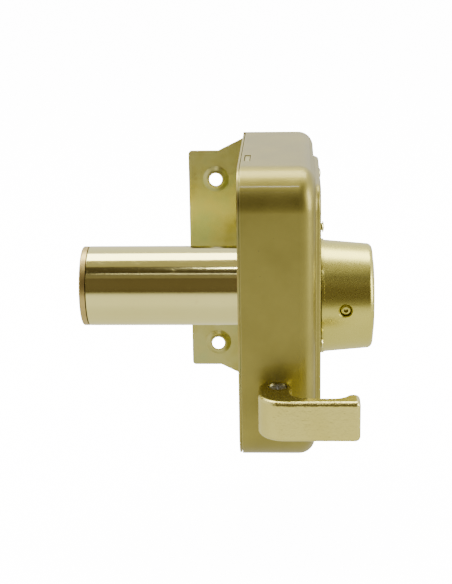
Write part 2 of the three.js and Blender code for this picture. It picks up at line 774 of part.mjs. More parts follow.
function bolt() {
  const nose = stroke - 3;
  const profile = new THREE.Shape(); // in (x, y) from the back, with a bevel on the door's side
  profile.moveTo(boltBack, boltNear);
  profile.lineTo(boltFront, boltNear);
  profile.lineTo(boltFront, boltFar - 1);
  profile.lineTo(boltFront - 1, boltFar);
  profile.lineTo(boltBack + boltThick * 0.6, boltFar);
  profile.lineTo(boltBack, boltFar - nose);
  const block = pushed(profile, boltBottom, 2 * boltHalf, null);
  const slotHalf = crankPinRadius + crankSlack;
  const slotNear = pinY - slotHalf - 4;
  const upper = box(tailBack, tailFront, slotNear, boltNear + 1, driveZ + hubRadius + 0.8, boltTop);
  const legNear = studY - 6;
  const legFar = studY + 6;
  const lower = box(tailBack, tailFront, legNear, boltNear + 1, boltBottom, driveZ - hubRadius - 0.8);
  const leg = box(tailBack, tailFront, legNear, legFar, handleZ - slideHeight / 2, boltBottom + 1);
  const slotTop = driveZ + crankRadius + crankPinRadius + gap;
  const slot = box(tailBack - 1, tailFront + 1, pinY - slotHalf, pinY + slotHalf, driveZ + hubRadius, slotTop);
  const studHole = rodX(studRadius + gap, tailBack - 1, tailFront + 1, studY, handleZ, 24);
  let body = cut(union(block, upper, lower, leg), slot, studHole);
  for (const z of rollerPlaces) {
    body = cut(body, rodY(rollerRadius + gap / 2, boltNear + 8, boltFar - 4, boltFront - 5, z, 20));
    body = cut(body, rodY(1.2, boltNear - 1, boltNear + 9, boltFront - 5, z, 12));
  }
  return cut(body, rodY(springRadius + gap, boltNear - 1, boltNear + 4, springX - gap, boltSpringZ, 20));
}
node("bolt", bolt(), rawBrass);

rollerPlaces.forEach((z, i) => {
  const pin = rodY(rollerRadius, boltNear + 8.4, boltFar - 4.4, boltFront - 5, z, 20);
  node(`bolt_roller_${i + 1}`, pin, hardSteel);
});

const boltSpring = springY(
  springRadius, springWire, anchorY + lugThick + gap, boltNear + 4 - gap, boltSpringX, boltSpringZ, 9,
);
node("bolt_spring", boltSpring, springSteel);

// ---- Trigger and deadlocking lever -------------------------------------------------------------------------

function trigger() {
  const profile = new THREE.Shape(); // in (x, y), bevelled on the door's side
  profile.moveTo(triggerBack, triggerNear);
  profile.lineTo(triggerBack + triggerThick, triggerNear);
  profile.lineTo(triggerBack + triggerThick, triggerFar);
  profile.lineTo(triggerBack + triggerThick * 0.7, triggerFar);
  profile.lineTo(triggerBack, triggerFar - triggerOut + 1);
  const body = pushed(profile, triggerZ - triggerHeight / 2, triggerHeight, null);
  return cut(body, rodY(springRadius + gap, triggerNear - 1, triggerNear + 6, triggerX, triggerZ, 20));
}
node("trigger", trigger(), rawBrass);

const triggerSpring = springY(
  springRadius, springWire, triggerAnchorY + lugThick + gap, triggerNear + 6 - gap, triggerX, triggerZ, 7,
);
node("trigger_spring", triggerSpring, springSteel);

const pivotRadius = 2.5;
const leverEnd = boltNear - 1;

function lever() {
  const eye = rodX(pivotRadius + 2.6, leverBack, leverBack + leverThick, leverPivotY, leverPivotZ, 24);
  const shape = new THREE.Shape(); // in (y, z)
  shape.moveTo(leverPivotY, leverPivotZ - 2.4);
  shape.lineTo(leverEnd - 7, boltTop + 6.4);
  shape.lineTo(leverEnd - 5, boltTop + 3.6);
  shape.lineTo(leverEnd, boltTop + 3.6);
  shape.lineTo(leverEnd, boltTop + 9);
  shape.lineTo(leverPivotY, leverPivotZ + 2.6);
  const arm = pushed(shape, leverBack, leverThick, alongX);
  const hole = rodX(pivotRadius + gap / 2, leverBack - 1, leverBack + leverThick + 1, leverPivotY, leverPivotZ, 24);
  return cut(union(eye, arm), hole);
}
node("deadlock_lever", lever(), zincSteel);

const pivot = turned(
  [
    [backThick + gap, 0],
    [backThick + gap, pivotRadius + 1.6],
    [leverBack - gap, pivotRadius + 1.6],
    [leverBack - gap, pivotRadius],
    [leverBack + leverThick + gap, pivotRadius],
    [leverBack + leverThick + gap, pivotRadius + 1.2],
    [leverBack + leverThick + gap + 1, pivotRadius + 1.2],
    [leverBack + leverThick + gap + 1, 0],
  ],
  leverPivotY, leverPivotZ, 24,
);
node("lever_pivot", pivot, zincSteel);

// ---- Pull handle -------------------------------------------------------------------------------------------

// Plan outline in (x, y): a lug against the side of the case and a finger bar that reaches out past the front.
function handleOutline() {
  const lugBack = near - lugGap;
  const lugRight = handleLeft + lugWidth;
  const barBack = handleFront + handleBar;
  const bigRound = 11;
  const endRound = 2.4;
  const lipDepth = 4.5;
  const shape = new THREE.Shape();
  shape.moveTo(handleLeft, handleFront + bigRound);
  shape.absarc(handleLeft + bigRound, handleFront + bigRound, bigRound, Math.PI, 1.5 * Math.PI);
  shape.lineTo(handleRight - endRound, handleFront);
  shape.absarc(handleRight - endRound, handleFront + endRound, endRound, -Math.PI / 2, 0);
  const tipX = handleRight - endRound;
  const tipY = barBack + lipDepth - endRound;
  const slant = endRound * Math.SQRT1_2;
  const fall = tipY + slant - barBack;
  shape.lineTo(handleRight, tipY);
  shape.absarc(tipX, tipY, endRound, 0, 0.75 * Math.PI);
  shape.quadraticCurveTo(tipX - slant - fall, barBack, tipX - slant - fall - 6, barBack);
  shape.lineTo(lugRight + 8, barBack);
  shape.quadraticCurveTo(lugRight + 1.5, barBack + 1, lugRight + 0.6, barBack + 7);
  shape.lineTo(lugRight, lugBack - 4);
  shape.absarc(lugRight - 4, lugBack - 4, 4, 0, Math.PI / 2);
  shape.lineTo(handleLeft + 4, lugBack);
  shape.absarc(handleLeft + 4, lugBack - 4, 4, Math.PI / 2, Math.PI);
  return shape;
}

const handleScrewY = near - 6;
const slideEnd = handleScrewY - 7;
const handleScrewX = (slideBack + slideFront) / 2;
const handleScrewRadius = 1.4;
const screwHeadRadius = 3.6;
const screwHeadDepth = 3;
const vent = { x: handleLeft + 19.2, y: handleFront + 4.6, radius: 1, depth: 4 };

function handle() {
  const body = pushed(handleOutline(), handleTop - handleHeight, handleHeight, null, handleRound, 5);
  const pocket = box(
    slideBack - gap, slideFront + gap, slideEnd - gap, near + 1,
    handleZ - slideHeight / 2 - gap, handleZ + slideHeight / 2 + gap,
  );
  const sink = rodZ(screwHeadRadius + gap, handleTop - screwHeadDepth - gap, handleTop + 1, handleScrewX, handleScrewY);
  const hole = rodZ(handleScrewRadius + gap, bottom, handleTop + 1, handleScrewX, handleScrewY, 16)
    .intersect(box(0, 60, near - 60, near, handleTop - handleHeight + 3, handleTop + 2));
  const pinhole = rodZ(vent.radius, handleTop - vent.depth, handleTop + 1, vent.x, vent.y, 12);
  return cut(body, pocket, sink, hole, pinhole);
}
node("pull_handle", handle(), polishedBrass);

function slide() {
  const low = handleZ - slideHeight / 2;
  const high = handleZ + slideHeight / 2;
  const bar = box(slideBack, slideFront, slideEnd, studY + 7, low, high);
  const stud = rodX(studRadius, tailBack - 0.4, slideBack + 1, studY, handleZ, 24);
  const hole = rodZ(handleScrewRadius + gap, low - 1, high + 1, handleScrewX, handleScrewY, 16);
  return cut(union(bar, stud), hole);
}
node("handle_slide", slide(), zincSteel);

function handleScrew() {
  const headTop = handleTop - 0.3;
  const headBottom = handleTop - screwHeadDepth;
  const shank = rodZ(handleScrewRadius, handleTop - handleHeight + 3.5, headBottom + 1, handleScrewX, handleScrewY, 16);
  const head = rodZ(screwHeadRadius, headBottom, headTop, handleScrewX, handleScrewY, 28);
  const across = box(handleScrewX - 2.4, handleScrewX + 2.4, handleScrewY - 0.5, handleScrewY + 0.5, headTop - 1.3, headTop + 1);
  const along = box(handleScrewX - 0.5, handleScrewX + 0.5, handleScrewY - 2.4, handleScrewY + 2.4, headTop - 1.3, headTop + 1);
  return cut(union(shank, head), across, along);
}
node("handle_screw", handleScrew(), zincSteel);

export default lock;
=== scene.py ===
"""Surface-mounted door deadlock: finishes, finely modelled outer pieces, studio and camera, in metres."""
import json
import math

import bpy
import bmesh
from mathutils import Matrix, Vector


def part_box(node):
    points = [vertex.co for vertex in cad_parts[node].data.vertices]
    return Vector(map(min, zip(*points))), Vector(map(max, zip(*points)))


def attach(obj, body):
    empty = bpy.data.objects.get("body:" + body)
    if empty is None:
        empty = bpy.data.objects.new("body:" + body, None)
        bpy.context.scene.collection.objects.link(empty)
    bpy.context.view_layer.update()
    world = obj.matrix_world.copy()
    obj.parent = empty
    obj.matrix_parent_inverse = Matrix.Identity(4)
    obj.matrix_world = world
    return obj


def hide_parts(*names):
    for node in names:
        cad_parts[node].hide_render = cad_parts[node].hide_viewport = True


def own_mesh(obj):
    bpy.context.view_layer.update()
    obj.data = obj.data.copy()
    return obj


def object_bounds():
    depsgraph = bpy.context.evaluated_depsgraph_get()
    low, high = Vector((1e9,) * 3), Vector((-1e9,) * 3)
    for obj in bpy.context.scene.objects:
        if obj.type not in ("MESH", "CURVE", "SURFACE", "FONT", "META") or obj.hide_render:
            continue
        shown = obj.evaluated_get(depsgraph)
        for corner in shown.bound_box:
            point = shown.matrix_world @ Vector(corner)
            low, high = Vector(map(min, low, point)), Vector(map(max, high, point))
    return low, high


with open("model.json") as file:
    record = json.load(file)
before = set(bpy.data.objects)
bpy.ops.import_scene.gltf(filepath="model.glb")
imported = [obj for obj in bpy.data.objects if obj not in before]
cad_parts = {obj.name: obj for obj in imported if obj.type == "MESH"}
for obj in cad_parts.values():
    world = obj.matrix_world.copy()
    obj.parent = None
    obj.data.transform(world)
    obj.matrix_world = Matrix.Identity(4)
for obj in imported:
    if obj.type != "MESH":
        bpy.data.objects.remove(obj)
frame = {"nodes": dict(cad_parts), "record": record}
cad_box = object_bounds()
nodes = frame["nodes"]
MM = 0.001


# ---- Shader writing ----------------------------------------------------------------------------------------

class Wire:
    """A socket that can be used in sums: each operation adds a Math node."""

    def __init__(self, finish, socket):
        self.finish = finish
        self.socket = socket

    def math(self, operation, *values):
        return self.finish.add("ShaderNodeMath", {"operation": operation}, dict(enumerate(values)))

    def __add__(self, other):
        return self.math("ADD", self, other)

    def __radd__(self, other):
        return self.math("ADD", other, self)

    def __sub__(self, other):
        return self.math("SUBTRACT", self, other)

    def __rsub__(self, other):
        return self.math("SUBTRACT", other, self)

    def __mul__(self, other):
        return self.math("MULTIPLY", self, other)

    def __rmul__(self, other):
        return self.math("MULTIPLY", other, self)


# Places of the colour sockets of a Mix node, whose names are shared with its number and vector sockets
COLOUR_A = 6
COLOUR_B = 7
COLOUR_RESULT = 2


class Finish:
    """A material made of nodes on Object coordinates."""

    def __init__(self, name):
        self.material = bpy.data.materials.new(name)
        self.material.use_nodes = True
        self.tree = self.material.node_tree
        self.tree.nodes.clear()
        self.place = self.add("ShaderNodeTexCoord", out="Object")

    def add(self, kind, settings=None, sockets=None, out=0):
        node = self.tree.nodes.new(kind)
        for key, value in (settings or {}).items():
            if key == "stops":
                ramp = node.color_ramp
                while len(ramp.elements) < len(value):
                    ramp.elements.new(0.5)
                for element, (position, colour) in zip(ramp.elements, value):
                    element.position = position
                    element.color = (*colour, 1.0)
            else:
                setattr(node, key, value)
        for key, value in (sockets or {}).items():
            if isinstance(value, Wire):
                self.tree.links.new(value.socket, node.inputs[key])
            else:
                node.inputs[key].default_value = value
        return Wire(self, node.outputs[out])

    def noise(self, scale, detail=3.0, roughness=0.5, stretch=(1.0, 1.0, 1.0)):
        placed = self.add("ShaderNodeMapping", sockets={"Vector": self.place, "Scale": stretch})
        sockets = {"Vector": placed, "Scale": scale, "Detail": detail, "Roughness": roughness}
        return self.add("ShaderNodeTexNoise", sockets=sockets)

    def specks(self, scale, share):
        """1 on small scattered dots, 0 between them."""
        soft_edge = 0.55
        cell = self.add("ShaderNodeTexVoronoi", sockets={"Vector": self.place, "Scale": scale})
        return self.band(cell, share, share * soft_edge)

    def band(self, value, low, high):
        """0 at low, 1 at high, smooth between them."""
        sockets = {"Value": value, "From Min": low, "From Max": high}
        return self.add("ShaderNodeMapRange", {"interpolation_type": "SMOOTHSTEP"}, sockets)

    def mix(self, factor, first, second):
        sockets = {"Factor": factor, COLOUR_A: rgba(first), COLOUR_B: rgba(second)}
        return self.add("ShaderNodeMix", {"data_type": "RGBA"}, sockets, out=COLOUR_RESULT)

    def edges(self, reach):
        """1 on outer edges, 0 on open faces: how much of the metal just under the surface is cut away."""
        settings = {"inside": True, "only_local": True, "samples": 6}
        open_share = self.add("ShaderNodeAmbientOcclusion", settings, {"Distance": reach}, out="AO")
        return self.band(1.0 - open_share, 0.10, 0.50)

    def bump(self, height, strength, distance, normal=None):
        sockets = {"Height": height, "Strength": strength, "Distance": distance}
        if normal:
            sockets["Normal"] = normal
        return self.add("ShaderNodeBump", sockets=sockets)

    def surface(self, colour, roughness, metallic, normal=None, constants=None):
        sockets = {"Base Color": rgba(colour), "Roughness": roughness, "Metallic": metallic}
        if normal:
            sockets["Normal"] = normal
        sockets.update(constants or {})
        shader = self.add("ShaderNodeBsdfPrincipled", sockets=sockets)
        output = self.tree.nodes.new("ShaderNodeOutputMaterial")
        self.tree.links.new(shader.socket, output.inputs["Surface"])
        return self.material


def rgba(colour):
    """A colour as a socket takes it: a link as it is, three numbers with full opacity."""
    return colour if isinstance(colour, Wire) else (*colour, 1.0)


# ---- Finishes ----------------------------------------------------------------------------------------------

def satin_lacquer():
    """Sheet case: olive-gold lacquer over brushed metal, softly mottled, with dust specks and paler edges."""
    f = Finish("satin_lacquer")
    mottle = f.noise(60.0, 4.0)
    grain = f.noise(2600.0, 2.0)
    base = f.mix(f.band(mottle, 0.3, 0.7), (0.290, 0.248, 0.056), (0.334, 0.288, 0.068))
    edged = f.mix(f.edges(0.0007) * 0.5, base, (0.62, 0.56, 0.22))
    dust = f.specks(210.0, 0.055) * f.band(f.noise(34.0, 2.0), 0.55, 0.68)
    colour = f.mix(dust * 0.55, edged, (0.12, 0.09, 0.04))
    roughness = 0.37 + mottle * 0.09 + dust * 0.2
    normal = f.bump(grain, 0.16, 0.00006, f.bump(f.noise(190.0, 3.0), 0.08, 0.0003))
    return f.surface(colour, roughness, 0.95, normal, {"Coat Weight": 0.28, "Coat Roughness": 0.10})


def yellow_plate():
    """Steel plate with a yellow passivated plating that drifts between gold, green and brown."""
    f = Finish("yellow_plate")
    drift = f.noise(46.0, 3.0, 0.6)
    stops = [(0.28, (0.42, 0.37, 0.095)), (0.5, (0.52, 0.49, 0.18)), (0.72, (0.44, 0.48, 0.20))]
    base = f.add("ShaderNodeValToRGB", {"stops": stops}, {"Fac": drift})
    edged = f.mix(f.edges(0.0007) * 0.5, base, (0.36, 0.22, 0.05))
    stain = f.band(f.noise(120.0, 4.0, 0.65), 0.60, 0.74)
    colour = f.mix(stain * 0.35, edged, (0.27, 0.21, 0.06))
    rolled = f.noise(900.0, 2.0, 0.5, (1.0, 1.0, 0.06))
    roughness = 0.30 + drift * 0.12 + stain * 0.12
    normal = f.bump(rolled, 0.12, 0.00005, f.bump(f.noise(240.0, 2.0), 0.10, 0.0003))
    return f.surface(colour, roughness, 0.95, normal)


def bright_brass():
    """Turned brass buffed to a mirror, with hairlines round the bar and a few handling scuffs."""
    f = Finish("bright_brass")
    drift = f.noise(30.0, 2.0)
    base = f.mix(drift, (0.76, 0.69, 0.26), (0.82, 0.76, 0.34))
    tarnish = f.band(f.noise(150.0, 4.0, 0.7), 0.62, 0.80)
    colour = f.mix(tarnish * 0.25, base, (0.50, 0.38, 0.14))
    hairlines = f.noise(1500.0, 2.0, 0.5, (1.0, 0.06, 0.06))
    scuff = f.band(f.noise(420.0, 5.0, 0.75, (0.35, 1.0, 1.0)), 0.60, 0.72)
    roughness = 0.07 + hairlines * 0.06 + tarnish * 0.08 + scuff * 0.16
    normal = f.bump(hairlines, 0.06, 0.00003, f.bump(f.noise(420.0, 2.0), 0.05, 0.0002))
    return f.surface(colour, roughness, 1.0, normal)


def blasted_brass():
    """Boss: cast brass polished over a fine pebbled skin, so reflections are soft and broken."""
    f = Finish("blasted_brass")
    drift = f.noise(50.0, 3.0)
    base = f.mix(drift, (0.60, 0.54, 0.12), (0.70, 0.64, 0.18))
    colour = f.mix(f.specks(700.0, 0.2) * 0.15, base, (0.42, 0.35, 0.09))
    pebble = f.noise(900.0, 3.0, 0.6)
    roughness = 0.25 + pebble * 0.06
    normal = f.bump(pebble, 0.06, 0.00005, f.bump(f.noise(260.0, 3.0), 0.06, 0.0003))
    return f.surface(colour, roughness, 1.0, normal)


def cast_brass():
    """Cast handle, polished over a coarse grain that still shows and glitters on its front."""
    f = Finish("cast_brass")
    drift = f.noise(70.0, 3.0)
    base = f.mix(drift, (0.64, 0.56, 0.15), (0.76, 0.69, 0.24))
    edged = f.mix(f.edges(0.0010) * 0.5, base, (0.88, 0.83, 0.52))
    pits = f.specks(900.0, 0.16)
    colour = f.mix(pits * 0.35, edged, (0.28, 0.21, 0.06))
    grain = f.noise(1300.0, 3.0, 0.6)
    roughness = 0.19 + grain * 0.12 + pits * 0.15
    normal = f.bump(grain, 0.55, 0.00016, f.bump(f.noise(520.0, 3.0), 0.34, 0.0005))
    return f.surface(colour, roughness, 1.0, normal)


def raw_brass():
    """Machined brass left bare, gone dull and a little brown."""
    f = Finish("raw_brass")
    drift = f.noise(110.0, 4.0)
    base = f.mix(drift, (0.46, 0.34, 0.115), (0.58, 0.46, 0.18))
    tarnish = f.band(f.noise(260.0, 5.0, 0.7), 0.52, 0.72)
    colour = f.mix(tarnish * 0.4, base, (0.33, 0.23, 0.09))
    cutter = f.noise(1100.0, 2.0, 0.5, (1.0, 0.2, 0.2))
    roughness = 0.30 + drift * 0.12 + tarnish * 0.12
    return f.surface(colour, roughness, 0.97, f.bump(cutter, 0.18, 0.00006))


def steel(name, dark, pale, rough, grain_scale):
    """Bare or plated steel with a fine drawn grain and a few dull spots."""
    f = Finish(name)
    drift = f.noise(130.0, 4.0)
    spots = f.band(f.noise(420.0, 4.0, 0.7), 0.62, 0.76)
    colour = f.mix(spots * 0.4, f.mix(drift, dark, pale), tuple(0.45 * c for c in dark))
    grain = f.noise(grain_scale, 2.0)
    roughness = rough + drift * 0.10 + spots * 0.15
    return f.surface(colour, roughness, 1.0, f.bump(grain, 0.15, 0.00005))


finishes = {
    "satin_lacquer": satin_lacquer(),
    "yellow_plate": yellow_plate(),
    "bright_brass": bright_brass(),
    "blasted_brass": blasted_brass(),
    "cast_brass": cast_brass(),
    "raw_brass": raw_brass(),
    "zinc_steel": steel("zinc_steel", (0.50, 0.50, 0.47), (0.66, 0.66, 0.63), 0.26, 1400.0),
    "hard_steel": steel("hard_steel", (0.24, 0.24, 0.25), (0.34, 0.34, 0.35), 0.24, 1800.0),
    "spring_steel": steel("spring_steel", (0.32, 0.32, 0.33), (0.44, 0.44, 0.45), 0.22, 2200.0),
}
slot_of = {row["node"]: row["material_slot"] for row in frame["record"]["subparts"]}


SMOOTH_ANGLE = math.radians(25.0)  # a sharper step between two faces stays crisp


def soften(piece, edge):
    """Flat faces joined, edges broken by this much, small steps smoothed; the CAD shape isn't changed."""
    piece.modifiers.new("weld", "WELD").merge_threshold = 2e-6
    flat = piece.modifiers.new("flat_faces", "DECIMATE")
    flat.decimate_type = "DISSOLVE"
    flat.angle_limit = math.radians(0.3)
    if edge:
        broken = piece.modifiers.new("broken_edges", "BEVEL")
        broken.width = edge * MM
        broken.segments = 2
        broken.limit_method = "ANGLE"
        broken.angle_limit = math.radians(40.0)
    piece.modifiers.new("crisp_edges", "EDGE_SPLIT").split_angle = SMOOTH_ANGLE
    for polygon in piece.data.polygons:
        polygon.use_smooth = True


for name, piece in nodes.items():
    piece.data.materials.clear()
    piece.data.materials.append(finishes[slot_of[name]])
    soften(piece, 0.0 if name == "back_plate" else 0.12)  # the back plate stays sharp


# ---- Modelling by hand: a primitive, then choose and shape -------------------------------------------------

def open_piece(name):
    """Names the new primitive, applies its place and opens it for shaping."""
    piece = bpy.context.object
    piece.name = name
    bpy.ops.object.transform_apply(location=True, rotation=True, scale=True)
    bpy.ops.object.mode_set(mode="EDIT")
    return piece


def at_rest():
    """Leaves edit mode and drops every selection."""
    if bpy.context.mode != "OBJECT":
        bpy.ops.object.mode_set(mode="OBJECT")
    bpy.ops.object.select_all(action="DESELECT")


def block(name, low, high):
    """A block between two corners, in millimetres."""
    at_rest()
    middle = [(a + b) / 2 * MM for a, b in zip(low, high)]
    bpy.ops.mesh.primitive_cube_add(size=1.0, location=middle)
    bpy.context.object.scale = [(b - a) * MM for a, b in zip(low, high)]
    return open_piece(name)


TURN = {"X": (0.0, math.pi / 2, 0.0), "Y": (-math.pi / 2, 0.0, 0.0), "Z": (0.0, 0.0, 0.0)}


def drum(name, axis, radius, low, high, place, sides=96, tip=None):
    """A round bar along an axis, or a cone with a tip radius; place holds the other two coordinates."""
    at_rest()
    where = list(place)
    where.insert("XYZ".index(axis), (low + high) / 2)
    bpy.ops.mesh.primitive_cone_add(
        vertices=sides, radius1=radius * MM, radius2=(radius if tip is None else tip) * MM,
        depth=(high - low) * MM, location=[v * MM for v in where], rotation=TURN[axis],
    )
    return open_piece(name)


def choose(piece, kind, test):
    """Selects what passes: faces by centre and normal, edges by their two ends, verts by their place."""
    bpy.ops.mesh.select_mode(type={"faces": "FACE", "edges": "EDGE", "verts": "VERT"}[kind])
    bpy.ops.mesh.select_all(action="DESELECT")
    mesh = bmesh.from_edit_mesh(piece.data)
    for item in getattr(mesh, kind):
        if kind == "faces":
            chosen = test(item.calc_center_median() / MM, item.normal)
        elif kind == "edges":
            chosen = test(item.verts[0].co / MM, item.verts[1].co / MM)
        else:
            chosen = test(item.co / MM)
        if chosen:
            item.select = True
    mesh.select_flush_mode()
    bmesh.update_edit_mesh(piece.data)


def extrude(x=0.0, y=0.0, z=0.0):
    """Draws the chosen faces out; with no distance they are copied in place, ready to be resized."""
    bpy.ops.mesh.extrude_region_move(TRANSFORM_OT_translate={"value": (x * MM, y * MM, z * MM)})


def shift(x=0.0, y=0.0, z=0.0):
    bpy.ops.transform.translate(value=(x * MM, y * MM, z * MM))


def rounded(radius, segments):
    """Rounds the chosen edges."""
    bpy.ops.mesh.bevel(offset=radius * MM, segments=segments, affect="EDGES")


def slice_at(axis, level):
    """Marks the whole piece with a cut across an axis."""
    bpy.ops.mesh.select_all(action="SELECT")
    place, normal = [0.0, 0.0, 0.0], [0.0, 0.0, 0.0]
    place["XYZ".index(axis)], normal["XYZ".index(axis)] = level * MM, 1.0
    bpy.ops.mesh.bisect(plane_co=place, plane_no=normal)


def near(a, b, slack=0.03):
    return abs(a - b) < slack


def both(axis, level):
    """True for an edge that lies at a level of an axis."""
    i = "XYZ".index(axis)
    return lambda a, b: near(a[i], level) and near(b[i], level)


def along(axis, *levels):
    """True for an edge that runs along an axis at these levels of the other two; None is any level."""
    i = "XYZ".index(axis)
    others = [j for j in range(3) if j != i]

    def test(a, b):
        return all(near(a[j], b[j]) and (v is None or near(a[j], v)) for j, v in zip(others, levels))
    return test


def take(piece):
    """Makes a piece the only one that is chosen."""
    at_rest()
    bpy.context.view_layer.objects.active = piece
    piece.select_set(True)


def applied(piece, kind, **settings):
    """Adds a modifier and applies it."""
    take(piece)
    made = piece.modifiers.new("shape", kind)
    for key, value in settings.items():
        setattr(made, key, value)
    bpy.ops.object.modifier_apply(modifier=made.name)


def carve(piece, *cutters, operation="DIFFERENCE"):
    """Takes each cutter out of the piece, or adds it, and removes the cutter."""
    for cutter in cutters:
        applied(piece, "BOOLEAN", object=cutter, operation=operation, solver="EXACT")
        bpy.data.objects.remove(cutter)


def joined(pieces):
    """Several pieces that don't touch, as one."""
    at_rest()
    for piece in pieces:
        piece.select_set(True)
    bpy.context.view_layer.objects.active = pieces[0]
    bpy.ops.object.join()
    return pieces[0]


def flatten_faces():
    """Joins faces that lie in one plane."""
    bpy.ops.mesh.select_all(action="SELECT")
    bpy.ops.mesh.dissolve_limited(angle_limit=math.radians(0.05))


def finish_piece(piece, node, edge, angle=50.0, segments=2, finish=None):
    """Breaks the sharp edges, smooths the rest and puts the piece in place of its CAD node."""
    applied(piece, "BEVEL", width=edge * MM, segments=segments, limit_method="ANGLE",
            angle_limit=math.radians(angle), use_clamp_overlap=True, miter_outer="MITER_ARC")
    take(piece)
    bpy.ops.object.shade_smooth_by_angle(angle=SMOOTH_ANGLE)
    applied(piece, "WEIGHTED_NORMAL", keep_sharp=True, weight=100)
    piece.data.materials.clear()
    piece.data.materials.append(finishes[finish or slot_of[node]])
    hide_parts(node)
    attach(piece, body_of[node])


def box_of(name):
    """Lowest and highest corner of a CAD node, in millimetres."""
    low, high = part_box(name)
    return [v / MM for v in low], [v / MM for v in high]


def middle_of(name):
    low, high = box_of(name)
    return [(a + b) / 2 for a, b in zip(low, high)]


body_of = {name: body for body, names in frame["record"]["behaviour"]["bodies"].items() for name in names}

# Driving sizes in millimetres; a radius unless the name says otherwise
GAP = 0.4  # play between a piece and the hole that it stands in
WALL = 1.5  # thickness of the case's sheet
PAST = 1.0  # how far a cutter goes past the face that it opens
CASE_CORNER = 17.0
CASE_EDGE = 7.0
PANEL_RISE = 2.3
PANEL_INSET = 8.0
PANEL_CORNER = 10.0
SLIDE_THICK = 6.0
BARREL = 17.5
CORE_BORE = 9.2
CORE_MOUTH = 8.5
TAIL_WAY = 4.1
CHAMBER = 1.45
CHAMBER_LOW = 8.0  # start of a pin chamber above the key axis
PINS = range(1, 5)

DRIVE_Z = middle_of("inner_cylinder_body")[2]  # height of the key axis
DRIVE = (0.0, DRIVE_Z)
CASE_LOW, CASE_HIGH = box_of("case_shell")
FLAT_FRONT = CASE_HIGH[0] - PANEL_RISE
SLIDE_LOW, SLIDE_HIGH = box_of("handle_slide")
SLIDE_LOW[0] = SLIDE_HIGH[0] - SLIDE_THICK  # the slide itself, without its stud


# ---- Case --------------------------------------------------------------------------------------------------

def case_form(inset, back):
    """The case's pressed form, inset by some amount: rounded side and front edge, square far end."""
    beyond = 8.0  # past the far end, where the form is cut off square
    low = [back, CASE_LOW[1] + inset, CASE_LOW[2] + inset]
    high = [FLAT_FRONT - inset, CASE_HIGH[1] + beyond, CASE_HIGH[2] - inset]
    form = block("case_pressing", low, high)
    choose(form, "edges", along("X", low[1], None))
    rounded(CASE_CORNER - inset, 22)
    choose(form, "edges", lambda a, b: both("X", high[0])(a, b) and a.y + b.y < 2 * high[1] - 0.1)
    rounded(CASE_EDGE - inset, 10)
    return form


def panel_form(inset):
    """The raised panel with a soft S from the flat of the front to its own face."""
    skirt = 0.95  # how far the foot of the S reaches out round the panel
    sunk = 0.04  # the foot starts just under the flat of the front
    rooted = 4.0
    # width and rise of each narrow band of the S, from its foot inwards
    bands = ((0.42, 0.12), (0.30, 0.26), (0.20, 0.42), (0.16, 0.46), (0.20, 0.44), (0.30, 0.34), (0.42, 0.22),
             (0.50, 0.08))
    out = PANEL_INSET + inset - skirt
    low = [FLAT_FRONT - rooted, CASE_LOW[1] + out, CASE_LOW[2] + out]
    high = [FLAT_FRONT - inset - sunk, CASE_HIGH[1] + GAP - out, CASE_HIGH[2] - out]
    form = block("panel", low, high)
    choose(form, "edges", along("X", None, None))
    rounded(PANEL_CORNER - inset + skirt, 14)
    choose(form, "faces", lambda c, n: n.x > 0.99)
    for width, rise in bands:
        bpy.ops.mesh.inset(thickness=width * MM, depth=rise * MM)
    return form


def case():
    spigot_hole, post_hole = 11.9, 2.0
    inside, outside = 25.0, 40.0  # a bore through the front runs from the hollow to open air
    large = 90.0  # well past the case on every side
    back_open = 5.0
    piece = case_form(0.0, CASE_LOW[0])
    # marks across the tall sides keep their shading even
    for level in (-20.0, SLIDE_LOW[2] - 2.0, SLIDE_HIGH[2] + 2.0, 20.0):
        slice_at("Z", level)
    carve(piece, panel_form(0.0), operation="UNION")
    hollow = case_form(WALL, CASE_LOW[0] - back_open)
    carve(hollow, panel_form(WALL), operation="UNION")
    end = block("end", [-back_open, CASE_HIGH[1], -large], [50.0, large, large])
    cutters = [hollow, end, drum("bore", "X", spigot_hole, inside, outside, DRIVE, 64)]
    for place in ("near_upper", "near_lower", "far_upper", "far_lower"):
        post = middle_of(f"cover_post_{place}")
        cutters.append(drum("bore", "X", post_hole, inside, outside, post[1:], 24))
    # one slot in the top and one in the bottom for the back plate's tabs
    for low, high in ((50.0, 62.0), (-74.0, -63.0)):
        cutters.append(block("slot", [2.45, -11.3, low], [5.15, 1.7, high]))
    slide = [SLIDE_LOW[0] - GAP, -45.0, SLIDE_LOW[2] - GAP]
    cutters.append(block("slot", slide, [SLIDE_HIGH[0] + GAP, -30.0, SLIDE_HIGH[2] + GAP]))
    carve(piece, *cutters)
    finish_piece(piece, "case_shell", 0.25, 55.0)


# ---- Pull handle -------------------------------------------------------------------------------------------

